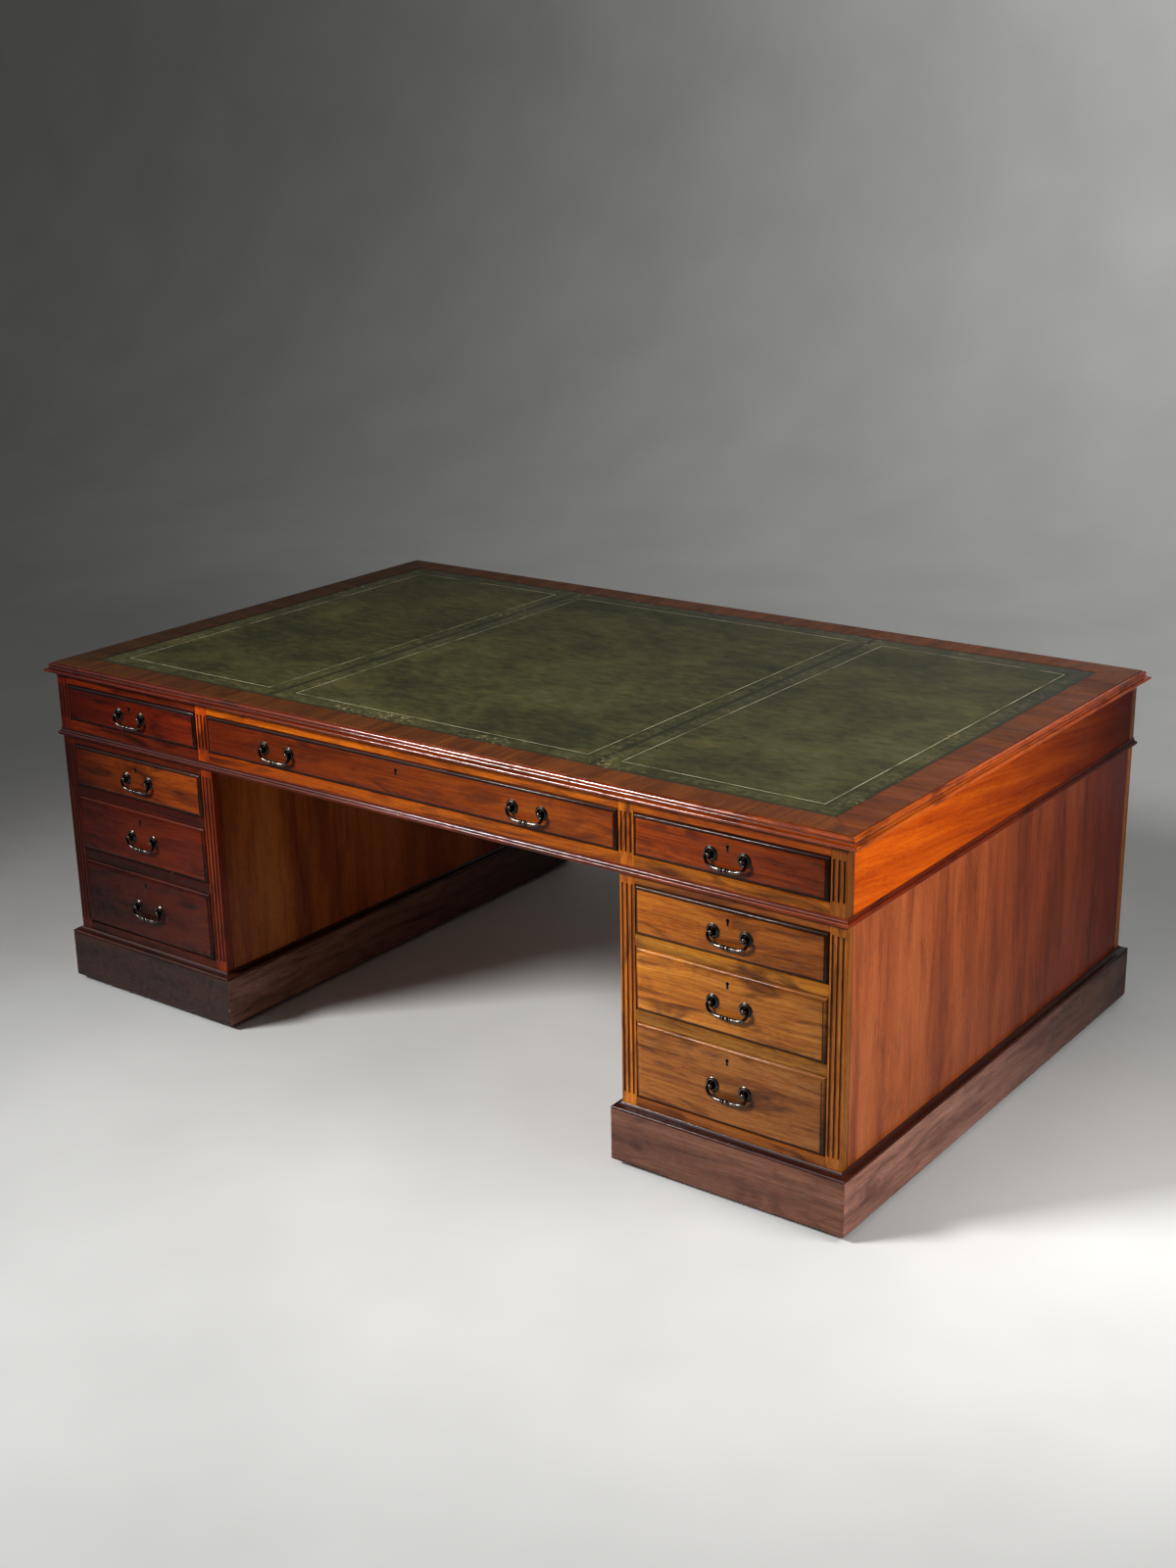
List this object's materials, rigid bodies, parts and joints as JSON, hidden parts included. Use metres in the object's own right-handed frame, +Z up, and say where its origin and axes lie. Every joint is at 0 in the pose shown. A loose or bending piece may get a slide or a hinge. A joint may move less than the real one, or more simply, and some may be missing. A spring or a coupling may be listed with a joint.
{
  "type": "partners desk",
  "caption": "Mahogany partners desk with a green leather top, moulded drawers with brass bail handles, fluted stiles, rear cupboards and twin pedestals on plinths with hidden castors.",
  "frame": {"origin": "on the floor, under the middle of the top", "axes": "+X along the front to the right as seen from the drawer side, +Y from the front to the back, +Z up"},
  "size_m": [2.103, 1.292, 0.78],
  "materials": {
    "polished_mahogany": "french polished, worn at the edges",
    "dark_mahogany": "dark stain, scuffed",
    "crossbanding_veneer": "satin polish",
    "carcass_wood": "bare, dusty",
    "green_leather": "waxed, worn, gilt tooled lines",
    "aged_brass": "patinated"
  },
  "bodies": {
    "carcass": {"top_board": "polished_mahogany", "crossbanding": "crossbanding_veneer", "leather_panels": "green_leather", "top_edge_moulding": "polished_mahogany", "frieze_frames": "polished_mahogany", "frieze_ends": "polished_mahogany", "frieze_partitions": "carcass_wood", "frieze_bead": "polished_mahogany", "hinge_leaves": "aged_brass", "castor_plates": "aged_brass", "left_pedestal_frames": "polished_mahogany", "left_pedestal_carcass": "polished_mahogany", "left_plinth": "dark_mahogany", "right_pedestal_frames": "polished_mahogany", "right_pedestal_carcass": "polished_mahogany", "right_plinth": "dark_mahogany"},
    "frieze_front_left_drawer": {"frieze_front_left_drawer": "polished_mahogany"},
    "frieze_front_left_bail": {"frieze_front_left_bail": "aged_brass"},
    "frieze_front_centre_drawer": {"frieze_front_centre_drawer": "polished_mahogany"},
    "frieze_front_centre_left_bail": {"frieze_front_centre_left_bail": "aged_brass"},
    "frieze_front_centre_right_bail": {"frieze_front_centre_right_bail": "aged_brass"},
    "frieze_front_right_drawer": {"frieze_front_right_drawer": "polished_mahogany"},
    "frieze_front_right_bail": {"frieze_front_right_bail": "aged_brass"},
    "frieze_back_left_drawer": {"frieze_back_left_drawer": "polished_mahogany"},
    "frieze_back_left_bail": {"frieze_back_left_bail": "aged_brass"},
    "frieze_back_centre_drawer": {"frieze_back_centre_drawer": "polished_mahogany"},
    "frieze_back_centre_left_bail": {"frieze_back_centre_left_bail": "aged_brass"},
    "frieze_back_centre_right_bail": {"frieze_back_centre_right_bail": "aged_brass"},
    "frieze_back_right_drawer": {"frieze_back_right_drawer": "polished_mahogany"},
    "frieze_back_right_bail": {"frieze_back_right_bail": "aged_brass"},
    "left_pedestal_top_drawer": {"left_pedestal_top_drawer": "polished_mahogany"},
    "left_pedestal_top_bail": {"left_pedestal_top_bail": "aged_brass"},
    "left_pedestal_middle_drawer": {"left_pedestal_middle_drawer": "polished_mahogany"},
    "left_pedestal_middle_bail": {"left_pedestal_middle_bail": "aged_brass"},
    "left_pedestal_bottom_drawer": {"left_pedestal_bottom_drawer": "polished_mahogany"},
    "left_pedestal_bottom_bail": {"left_pedestal_bottom_bail": "aged_brass"},
    "left_cupboard_door": {"left_cupboard_door": "polished_mahogany"},
    "right_pedestal_top_drawer": {"right_pedestal_top_drawer": "polished_mahogany"},
    "right_pedestal_top_bail": {"right_pedestal_top_bail": "aged_brass"},
    "right_pedestal_middle_drawer": {"right_pedestal_middle_drawer": "polished_mahogany"},
    "right_pedestal_middle_bail": {"right_pedestal_middle_bail": "aged_brass"},
    "right_pedestal_bottom_drawer": {"right_pedestal_bottom_drawer": "polished_mahogany"},
    "right_pedestal_bottom_bail": {"right_pedestal_bottom_bail": "aged_brass"},
    "right_cupboard_door": {"right_cupboard_door": "polished_mahogany"},
    "castor_fork_left_front_inner": {"castor_fork_left_front_inner": "aged_brass"},
    "castor_wheel_left_front_inner": {"castor_wheel_left_front_inner": "aged_brass"},
    "castor_fork_left_front_outer": {"castor_fork_left_front_outer": "aged_brass"},
    "castor_wheel_left_front_outer": {"castor_wheel_left_front_outer": "aged_brass"},
    "castor_fork_left_back_inner": {"castor_fork_left_back_inner": "aged_brass"},
    "castor_wheel_left_back_inner": {"castor_wheel_left_back_inner": "aged_brass"},
    "castor_fork_left_back_outer": {"castor_fork_left_back_outer": "aged_brass"},
    "castor_wheel_left_back_outer": {"castor_wheel_left_back_outer": "aged_brass"},
    "castor_fork_right_front_inner": {"castor_fork_right_front_inner": "aged_brass"},
    "castor_wheel_right_front_inner": {"castor_wheel_right_front_inner": "aged_brass"},
    "castor_fork_right_front_outer": {"castor_fork_right_front_outer": "aged_brass"},
    "castor_wheel_right_front_outer": {"castor_wheel_right_front_outer": "aged_brass"},
    "castor_fork_right_back_inner": {"castor_fork_right_back_inner": "aged_brass"},
    "castor_wheel_right_back_inner": {"castor_wheel_right_back_inner": "aged_brass"},
    "castor_fork_right_back_outer": {"castor_fork_right_back_outer": "aged_brass"},
    "castor_wheel_right_back_outer": {"castor_wheel_right_back_outer": "aged_brass"}
  },
  "joints": [
    {"name": "frieze_front_left_slide", "type": "slide", "parent": "carcass", "child": "frieze_front_left_drawer", "axis": [0, -1, 0], "range_m": [0, 0.42]},
    {"name": "frieze_front_left_bail_swing", "type": "hinge", "parent": "frieze_front_left_drawer", "child": "frieze_front_left_bail", "pos_m": [-0.785, -0.641, 0.69155], "axis": [-1, 0, 0], "range_deg": [-7, 90]},
    {"name": "frieze_front_centre_slide", "type": "slide", "parent": "carcass", "child": "frieze_front_centre_drawer", "axis": [0, -1, 0], "range_m": [0, 0.42]},
    {"name": "frieze_front_centre_left_bail_swing", "type": "hinge", "parent": "frieze_front_centre_drawer", "child": "frieze_front_centre_left_bail", "pos_m": [-0.332, -0.641, 0.69155], "axis": [-1, 0, 0], "range_deg": [-7, 90]},
    {"name": "frieze_front_centre_right_bail_swing", "type": "hinge", "parent": "frieze_front_centre_drawer", "child": "frieze_front_centre_right_bail", "pos_m": [0.332, -0.641, 0.69155], "axis": [-1, 0, 0], "range_deg": [-7, 90]},
    {"name": "frieze_front_right_slide", "type": "slide", "parent": "carcass", "child": "frieze_front_right_drawer", "axis": [0, -1, 0], "range_m": [0, 0.42]},
    {"name": "frieze_front_right_bail_swing", "type": "hinge", "parent": "frieze_front_right_drawer", "child": "frieze_front_right_bail", "pos_m": [0.785, -0.641, 0.69155], "axis": [-1, 0, 0], "range_deg": [-7, 90]},
    {"name": "frieze_back_left_slide", "type": "slide", "parent": "carcass", "child": "frieze_back_left_drawer", "axis": [0, 1, 0], "range_m": [0, 0.42]},
    {"name": "frieze_back_left_bail_swing", "type": "hinge", "parent": "frieze_back_left_drawer", "child": "frieze_back_left_bail", "pos_m": [-0.785, 0.641, 0.69155], "axis": [1, 0, 0], "range_deg": [-7, 90]},
    {"name": "frieze_back_centre_slide", "type": "slide", "parent": "carcass", "child": "frieze_back_centre_drawer", "axis": [0, 1, 0], "range_m": [0, 0.42]},
    {"name": "frieze_back_centre_left_bail_swing", "type": "hinge", "parent": "frieze_back_centre_drawer", "child": "frieze_back_centre_left_bail", "pos_m": [0.332, 0.641, 0.69155], "axis": [1, 0, 0], "range_deg": [-7, 90]},
    {"name": "frieze_back_centre_right_bail_swing", "type": "hinge", "parent": "frieze_back_centre_drawer", "child": "frieze_back_centre_right_bail", "pos_m": [-0.332, 0.641, 0.69155], "axis": [1, 0, 0], "range_deg": [-7, 90]},
    {"name": "frieze_back_right_slide", "type": "slide", "parent": "carcass", "child": "frieze_back_right_drawer", "axis": [0, 1, 0], "range_m": [0, 0.42]},
    {"name": "frieze_back_right_bail_swing", "type": "hinge", "parent": "frieze_back_right_drawer", "child": "frieze_back_right_bail", "pos_m": [0.785, 0.641, 0.69155], "axis": [1, 0, 0], "range_deg": [-7, 90]},
    {"name": "left_pedestal_top_slide", "type": "slide", "parent": "carcass", "child": "left_pedestal_top_drawer", "axis": [0, -1, 0], "range_m": [0, 0.42]},
    {"name": "left_pedestal_top_bail_swing", "type": "hinge", "parent": "left_pedestal_top_drawer", "child": "left_pedestal_top_bail", "pos_m": [-0.781, -0.639, 0.54205], "axis": [-1, 0, 0], "range_deg": [-7, 90]},
    {"name": "left_pedestal_middle_slide", "type": "slide", "parent": "carcass", "child": "left_pedestal_middle_drawer", "axis": [0, -1, 0], "range_m": [0, 0.42]},
    {"name": "left_pedestal_middle_bail_swing", "type": "hinge", "parent": "left_pedestal_middle_drawer", "child": "left_pedestal_middle_bail", "pos_m": [-0.781, -0.639, 0.40255], "axis": [-1, 0, 0], "range_deg": [-7, 90]},
    {"name": "left_pedestal_bottom_slide", "type": "slide", "parent": "carcass", "child": "left_pedestal_bottom_drawer", "axis": [0, -1, 0], "range_m": [0, 0.42]},
    {"name": "left_pedestal_bottom_bail_swing", "type": "hinge", "parent": "left_pedestal_bottom_drawer", "child": "left_pedestal_bottom_bail", "pos_m": [-0.781, -0.639, 0.23305], "axis": [-1, 0, 0], "range_deg": [-7, 90]},
    {"name": "left_cupboard_door_hinge", "type": "hinge", "parent": "carcass", "child": "left_cupboard_door", "pos_m": [-0.9916, 0.6292, 0.373], "axis": [0, 0, 1], "range_deg": [0, 110]},
    {"name": "right_pedestal_top_slide", "type": "slide", "parent": "carcass", "child": "right_pedestal_top_drawer", "axis": [0, -1, 0], "range_m": [0, 0.42]},
    {"name": "right_pedestal_top_bail_swing", "type": "hinge", "parent": "right_pedestal_top_drawer", "child": "right_pedestal_top_bail", "pos_m": [0.789, -0.639, 0.54205], "axis": [-1, 0, 0], "range_deg": [-7, 90]},
    {"name": "right_pedestal_middle_slide", "type": "slide", "parent": "carcass", "child": "right_pedestal_middle_drawer", "axis": [0, -1, 0], "range_m": [0, 0.42]},
    {"name": "right_pedestal_middle_bail_swing", "type": "hinge", "parent": "right_pedestal_middle_drawer", "child": "right_pedestal_middle_bail", "pos_m": [0.789, -0.639, 0.40255], "axis": [-1, 0, 0], "range_deg": [-7, 90]},
    {"name": "right_pedestal_bottom_slide", "type": "slide", "parent": "carcass", "child": "right_pedestal_bottom_drawer", "axis": [0, -1, 0], "range_m": [0, 0.42]},
    {"name": "right_pedestal_bottom_bail_swing", "type": "hinge", "parent": "right_pedestal_bottom_drawer", "child": "right_pedestal_bottom_bail", "pos_m": [0.789, -0.639, 0.23305], "axis": [-1, 0, 0], "range_deg": [-7, 90]},
    {"name": "right_cupboard_door_hinge", "type": "hinge", "parent": "carcass", "child": "right_cupboard_door", "pos_m": [0.9916, 0.6292, 0.373], "axis": [0, 0, -1], "range_deg": [0, 110]},
    {"name": "castor_swivel_left_front_inner", "type": "hinge", "parent": "carcass", "child": "castor_fork_left_front_inner", "pos_m": [-0.601, -0.567, 0.049], "axis": [0, 0, 1], "continuous": true},
    {"name": "castor_roll_left_front_inner", "type": "hinge", "parent": "castor_fork_left_front_inner", "child": "castor_wheel_left_front_inner", "pos_m": [-0.601, -0.555, 0.018], "axis": [1, 0, 0], "continuous": true},
    {"name": "castor_swivel_left_front_outer", "type": "hinge", "parent": "carcass", "child": "castor_fork_left_front_outer", "pos_m": [-0.969, -0.567, 0.049], "axis": [0, 0, 1], "continuous": true},
    {"name": "castor_roll_left_front_outer", "type": "hinge", "parent": "castor_fork_left_front_outer", "child": "castor_wheel_left_front_outer", "pos_m": [-0.969, -0.555, 0.018], "axis": [1, 0, 0], "continuous": true},
    {"name": "castor_swivel_left_back_inner", "type": "hinge", "parent": "carcass", "child": "castor_fork_left_back_inner", "pos_m": [-0.601, 0.567, 0.049], "axis": [0, 0, 1], "continuous": true},
    {"name": "castor_roll_left_back_inner", "type": "hinge", "parent": "castor_fork_left_back_inner", "child": "castor_wheel_left_back_inner", "pos_m": [-0.601, 0.555, 0.018], "axis": [1, 0, 0], "continuous": true},
    {"name": "castor_swivel_left_back_outer", "type": "hinge", "parent": "carcass", "child": "castor_fork_left_back_outer", "pos_m": [-0.969, 0.567, 0.049], "axis": [0, 0, 1], "continuous": true},
    {"name": "castor_roll_left_back_outer", "type": "hinge", "parent": "castor_fork_left_back_outer", "child": "castor_wheel_left_back_outer", "pos_m": [-0.969, 0.555, 0.018], "axis": [1, 0, 0], "continuous": true},
    {"name": "castor_swivel_right_front_inner", "type": "hinge", "parent": "carcass", "child": "castor_fork_right_front_inner", "pos_m": [0.601, -0.567, 0.049], "axis": [0, 0, 1], "continuous": true},
    {"name": "castor_roll_right_front_inner", "type": "hinge", "parent": "castor_fork_right_front_inner", "child": "castor_wheel_right_front_inner", "pos_m": [0.601, -0.555, 0.018], "axis": [1, 0, 0], "continuous": true},
    {"name": "castor_swivel_right_front_outer", "type": "hinge", "parent": "carcass", "child": "castor_fork_right_front_outer", "pos_m": [0.969, -0.567, 0.049], "axis": [0, 0, 1], "continuous": true},
    {"name": "castor_roll_right_front_outer", "type": "hinge", "parent": "castor_fork_right_front_outer", "child": "castor_wheel_right_front_outer", "pos_m": [0.969, -0.555, 0.018], "axis": [1, 0, 0], "continuous": true},
    {"name": "castor_swivel_right_back_inner", "type": "hinge", "parent": "carcass", "child": "castor_fork_right_back_inner", "pos_m": [0.601, 0.567, 0.049], "axis": [0, 0, 1], "continuous": true},
    {"name": "castor_roll_right_back_inner", "type": "hinge", "parent": "castor_fork_right_back_inner", "child": "castor_wheel_right_back_inner", "pos_m": [0.601, 0.555, 0.018], "axis": [1, 0, 0], "continuous": true},
    {"name": "castor_swivel_right_back_outer", "type": "hinge", "parent": "carcass", "child": "castor_fork_right_back_outer", "pos_m": [0.969, 0.567, 0.049], "axis": [0, 0, 1], "continuous": true},
    {"name": "castor_roll_right_back_outer", "type": "hinge", "parent": "castor_fork_right_back_outer", "child": "castor_wheel_right_back_outer", "pos_m": [0.969, 0.555, 0.018], "axis": [1, 0, 0], "continuous": true}
  ]
}
